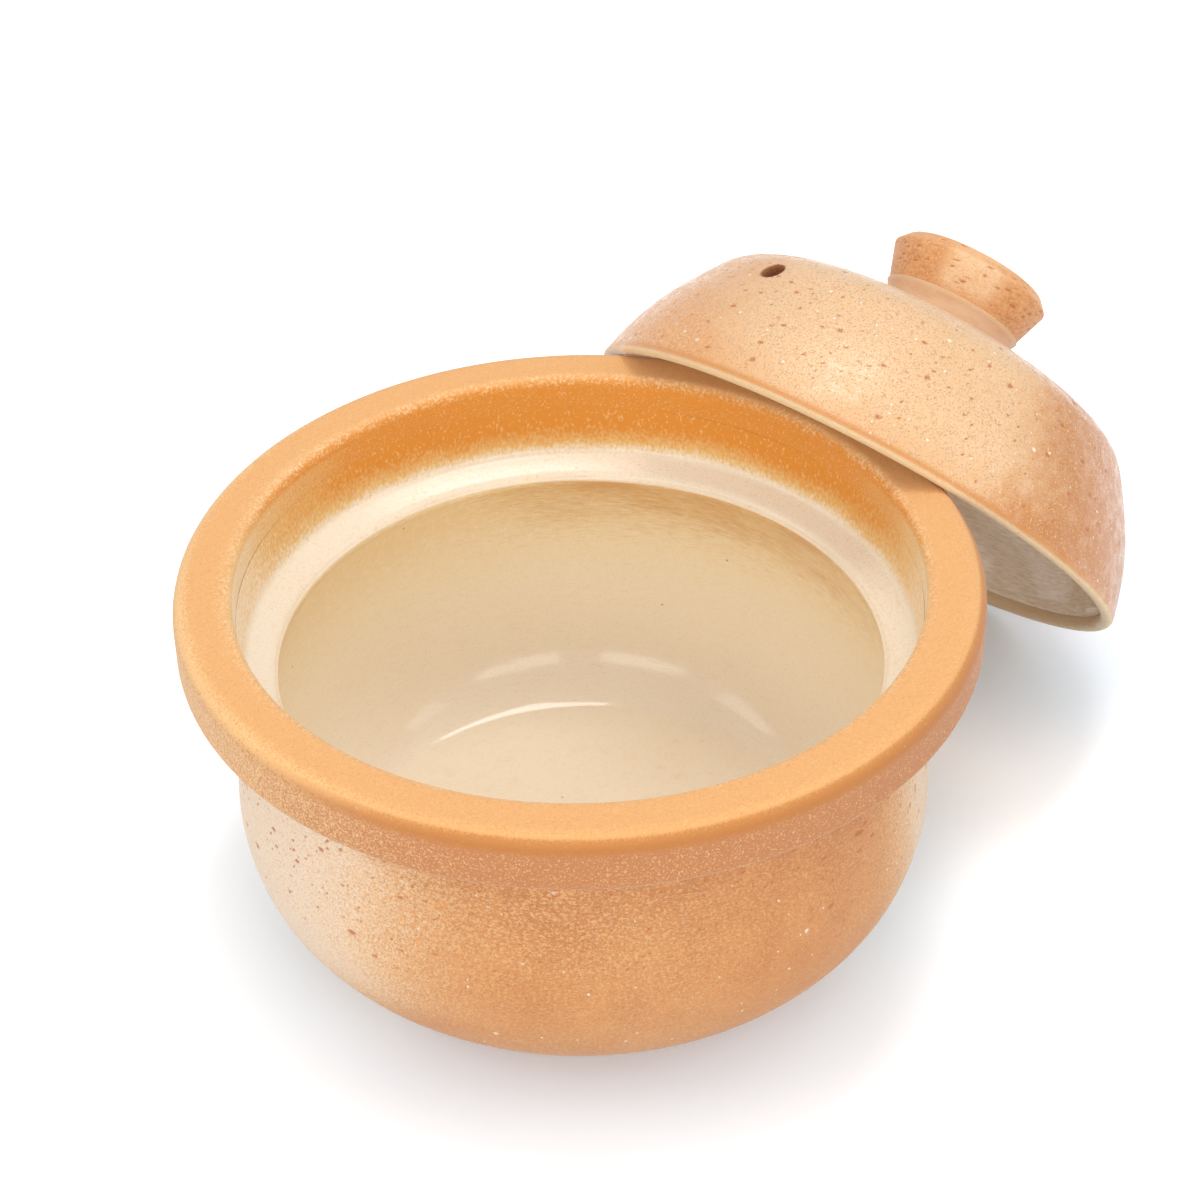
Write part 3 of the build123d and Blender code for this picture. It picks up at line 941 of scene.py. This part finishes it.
def knob_relief(surface):
    """The knob's coarse skin: drag lines, torn pits and grit."""
    place, height = surface["place"], surface["height"]
    drawn = place * (0.3, 0.3, 1)
    rise = 0.12 * unevenness(place, 12, 15) + 0.05 * unevenness(place, 2.2, 18)
    drag = band(unevenness(drawn, 1.3, 16), 0.4, 0.8)
    rise -= 0.16 * drag
    pits = pocks(surface, 2.6, 1.1, 0.6, 0.40, 70)
    pits *= band(height, LID_HEIGHT + SLIP_HEIGHT, LID_HEIGHT + 15)
    rise -= 0.30 * band(pits, 0, 0.7)
    # A pale patch on the knob's front side: partly a pale smear, partly a painted highlight.
    smear_and_highlight = facing(surface, 208, 34) * band(height, LID_HEIGHT + 9, LID_HEIGHT + 16)
    coats = {
        "ash_and_sheen": 1.4 * smear_and_highlight - 1.1 + 0.3 * unevenness(place, 9, 17),
        "pits": np.maximum(pits, 0.25 * drag),
        "bevel": band(height, LID_HEIGHT + KNOB_FLARE - 0.4, LID_HEIGHT + KNOB_FLARE + 0.8),
    }
    return np.minimum(rise, 0) - SKIN, coats


dish = [
    (DISH_RADIUS * math.sin(a), KNOB_TOP_HEIGHT - DISH_DEPTH * (1 - math.sin(a) ** 2))
    for a in np.linspace(math.pi / 2, 0.05, 24)
]
knob_outline = joined(
    ((KNOB_FOOT, LID_HEIGHT - KNOB_SUNK), (KNOB_RADIUS, LID_HEIGHT + KNOB_FLARE)),
    KNOB_EDGE_ROUND,
    ((KNOB_RADIUS, LID_HEIGHT + KNOB_FLARE), (KNOB_RADIUS - KNOB_BEVEL_WIDTH, KNOB_TOP_HEIGHT)),
    KNOB_BEVEL_WIDTH / 2,
    ((KNOB_RADIUS - KNOB_BEVEL_WIDTH, KNOB_TOP_HEIGHT), (DISH_RADIUS, KNOB_TOP_HEIGHT)),
    DISH_ROUND,
    dish,
)
knob_path = np.vstack(
    [
        [[0, LID_HEIGHT - KNOB_SUNK], [KNOB_HUB, LID_HEIGHT - KNOB_SUNK]],
        spaced(knob_outline, KNOB_RING_GAP),
        [[0, KNOB_TOP_HEIGHT - DISH_DEPTH]],
    ]
)

KNOB_ORANGE = fired(224, 164, 106)
KNOB_BROWN = fired(190, 120, 62)
SMEAR_AND_HIGHLIGHT = fired(238, 200, 156)

knob_clay, shader, coat = finish("knob_clay", Sheen_Weight=0.15, Sheen_Roughness=0.5)
wheel = coat("wheel", "Vector")
fine = speckle(wheel, 0.6)
mottle = speckle(wheel.stretched(0.7, 0.7, 1.3), 1.4)
grain = (fine - 0.5) * 1.4 + (mottle - 0.5) * 1.6
colour = over(KNOB_ORANGE, KNOB_BROWN, grain.step(-0.2, 0.6) * 0.85)
colour = over(colour, GOLD, grain.step(-0.1, -0.6) * 0.6)
dusted = coat("ash_and_sheen") + grain * 1.2
# The pale patch is partly smear and partly painted highlight.
colour = over(colour, SMEAR_AND_HIGHLIGHT, dusted.step(-0.8, 0.8))
colour = over(colour, LID_ORANGE, coat("bevel") * 0.6)
pits = (coat("pits") + (fine - 0.5) * 0.8).step(0.12, 0.45)
colour = over(colour, TORN, (pits * 0.9).most(speckle(wheel, 0.5).step(0.56, 0.66) * 0.4))
grit = grains(wheel, 3.4, 0.55, 0.4)
colour = over(colour, GRIT, grit * 0.85)
height = fine * 0.5 + mottle * 0.4 + grit * 0.6
lay(shader, Base_Color=colour, Normal=dented(height, 0.35, 0.8), Roughness=0.45 + 0.2 * fine)

knob = turned("knob_clay_turned", knob_path, knob_relief, lean, crowd=360)
knob.data.materials.append(knob_clay)
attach(knob, "lid")
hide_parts("lid_knob")

# The slip: soft clay packed round the knob's foot to lute it to the lid. A finger wiped it
# hollow all round, and its upper edge dried pale on the knob.

FINGER_RADIUS = 12.4
SLIP_SUNK = 0.2
SLIP_UNDER = 0.5
SLIP_IN = 0.6
SLIP_RING_GAP = 0.4
slip_low = np.array((SEAT_RADIUS, LID_HEIGHT))
knob_side = KNOB_FOOT + (KNOB_RADIUS - KNOB_FOOT) * SLIP_HEIGHT / KNOB_FLARE
slip_high = np.array((knob_side + SLIP_EDGE, LID_HEIGHT + SLIP_HEIGHT))
chord = slip_high - slip_low
span = np.linalg.norm(chord)
half_angle = math.asin(span / 2 / FINGER_RADIUS)
outward = np.array((chord[1], -chord[0])) / span
finger = (slip_low + slip_high) / 2 + outward * FINGER_RADIUS * math.cos(half_angle)
wiped = [
    finger + FINGER_RADIUS * (-outward * math.cos(a) + chord / span * math.sin(a))
    for a in np.linspace(-half_angle, half_angle, 30)
]


def slip_relief(surface):
    """Small finger ripples in the wiped slip, and the dry edge that it left on the knob."""
    ripple = 0.05 * unevenness(surface["place"] * (0.4, 0.4, 1), 4, 18)
    top = band(surface["height"], LID_HEIGHT + SLIP_HEIGHT - 1.6, LID_HEIGHT + SLIP_HEIGHT - 0.6)
    return np.minimum(ripple, 0) - SKIN, {"top": top}


slip_path = np.vstack(
    [
        [[KNOB_FOOT - SLIP_UNDER, LID_HEIGHT - SLIP_SUNK]],
        spaced(np.array(wiped), SLIP_RING_GAP),
        [
            [knob_side + SLIP_EDGE / 2, LID_HEIGHT + SLIP_HEIGHT],
            [knob_side - SLIP_IN, LID_HEIGHT + SLIP_HEIGHT - SLIP_SUNK],
        ],
    ]
)

WIPED = fired(230, 190, 152)
DAMP = fired(218, 172, 126)
DRY = fired(236, 204, 166)

slip, shader, coat = finish("luting_slip", Sheen_Weight=0.1)
wheel = coat("wheel", "Vector")
fine = speckle(wheel, 0.9)
colour = over(WIPED, DAMP, speckle(wheel.stretched(0.3, 0.3, 1), 3, 3.0).step(0.4, 0.6) * 0.6)
colour = over(colour, DRY, coat("top") * (0.5 + 0.5 * fine))
lay(shader, Base_Color=colour, Normal=dented(fine, 0.1, 0.4), Roughness=0.5 + 0.1 * fine)

ring = turned("slip_ring", slip_path, slip_relief, lean, crowd=360)
ring.data.materials.append(slip)
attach(ring, "lid")
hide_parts("knob_slip")

# The studio: a sheet of white paper, two soft boxes in front, one at each side and one
# overhead, and the camera where the photographer stood, looking down into the bowl. Light
# that the clay throws back on the paper would tint it, so the paper seen there is cooler.
# Round the pot's foot and where the lid leans it is also painted darker: a painted shadow.

PAPER = (0.60, 0.62, 0.64, 1)
FAR_PAPER = (1.30, 1.33, 1.36, 1)
SHADOW_PAPER = (0.98, 1.08, 1.17, 1)
LID_SHADOW_SPOT = (0.16, 0.14, 0)

white_paper, shader, _ = finish("white_paper", Base_Color=PAPER, Roughness=0.9)
sheet = Field(shader.outputs[0])
spot = sheet.node("NewGeometry", {}, {}, "Position")
off_pot = spot.node("VectorMath", {"operation": "LENGTH"}, {0: spot}, "Value")
off_lid = spot.node("VectorMath", {"operation": "DISTANCE"}, {0: spot, 1: LID_SHADOW_SPOT}, "Value")
# Near the pot's foot and the lid's spot the paper is painted darker and cooler: painted shadow.
near = off_pot.step(0.15, 0.09).most(off_lid.step(0.10, 0.04))
far_sheet = sheet.node("BsdfDiffuse", {}, {"Color": FAR_PAPER})
shadow_sheet = sheet.node("BsdfDiffuse", {}, {"Color": SHADOW_PAPER})
seen_sheet = sheet.node("MixShader", {}, {0: near, 1: far_sheet, 2: shadow_sheet})
seen = sheet.node("LightPath", {}, {}, "Is Camera Ray")
seen = seen.most(sheet.node("LightPath", {}, {}, "Is Glossy Ray"))
sheet = sheet.node("MixShader", {}, {0: seen, 1: sheet, 2: seen_sheet})
lay(white_paper.node_tree.nodes["Material Output"], Surface=sheet)
bpy.ops.mesh.primitive_circle_add(vertices=96, radius=6, fill_type="NGON")
floor = bpy.context.object
floor.name = "paper_floor"
floor.data.materials.append(white_paper)

SKY_LIGHT = 0.76

world = bpy.data.worlds.new("studio")
bpy.context.scene.world = world
world.use_nodes = True
sky = world.node_tree.nodes["Background"]
sky.inputs["Color"].default_value = (1, 1, 1, 1)
seen = Field(sky.outputs[0]).node("LightPath", {}, {}, "Is Camera Ray")
lay(sky, Strength=seen * (1 - SKY_LIGHT) + SKY_LIGHT)

BETWEEN_POT_AND_LID = Vector((0.03, 0.03, 0.08))


def soft_box(name, compass, elevation, distance, size, power):
    """A soft box that faces the pot from a compass angle off the camera and an elevation."""
    light = bpy.data.lights.new(name, "AREA")
    light.shape = "RECTANGLE"
    light.size, light.size_y = size
    light.energy = power
    lamp = bpy.data.objects.new(name, light)
    a, e = math.radians(compass), math.radians(elevation)
    towards = Vector((math.sin(a) * math.cos(e), -math.cos(a) * math.cos(e), math.sin(e)))
    lamp.location = towards * distance + BETWEEN_POT_AND_LID
    lamp.rotation_euler = towards.to_track_quat("Z", "Y").to_euler()
    bpy.context.collection.objects.link(lamp)


FRONT_BOX = (0.85, 1.0)
OVER_BOX = (0.45, 0.6)
SIDE_BOX = (0.7, 0.9)
soft_box("box_right", compass=25, elevation=19, distance=1.6, size=FRONT_BOX, power=6.0)
soft_box("box_left", compass=-26, elevation=19, distance=1.6, size=FRONT_BOX, power=6.4)
soft_box("box_over", compass=150, elevation=76, distance=1.5, size=OVER_BOX, power=6.0)
soft_box("side_left", compass=-79, elevation=28, distance=1.6, size=SIDE_BOX, power=3.0)
soft_box("side_right", compass=79, elevation=28, distance=1.6, size=SIDE_BOX, power=2.2)

LENS = 92.25
SENSOR_WIDTH = 36
ELEVATION = math.radians(36.871)
DISTANCE = 0.9074
PAN = -0.00653
TILT = -0.01018
ROLL = math.radians(1.3273)

camera_data = bpy.data.cameras.new("camera")
camera_data.lens = LENS
camera_data.sensor_width = SENSOR_WIDTH
camera_data.sensor_fit = "HORIZONTAL"
camera_data.clip_start = 0.01
camera = bpy.data.objects.new("camera", camera_data)
bpy.context.collection.objects.link(camera)
bpy.context.scene.camera = camera
back = Vector((0, -math.cos(ELEVATION), math.sin(ELEVATION)))
view = -back
right = Vector((1, 0, 0))
up = right.cross(view)
pan = Matrix.Rotation(PAN, 3, up)
view, right = pan @ view, pan @ right
tilt = Matrix.Rotation(TILT, 3, right)
view, up = tilt @ view, tilt @ up
roll = Matrix.Rotation(ROLL, 3, view)
right, up = roll @ right, roll @ up
stand = back * DISTANCE + Vector((0, 0, POT_HEIGHT * MM))
camera.matrix_world = Matrix(
    (
        (right.x, up.x, -view.x, stand.x),
        (right.y, up.y, -view.y, stand.y),
        (right.z, up.z, -view.z, stand.z),
        (0, 0, 0, 1),
    )
)
bpy.context.scene.view_settings.view_transform = "Standard"
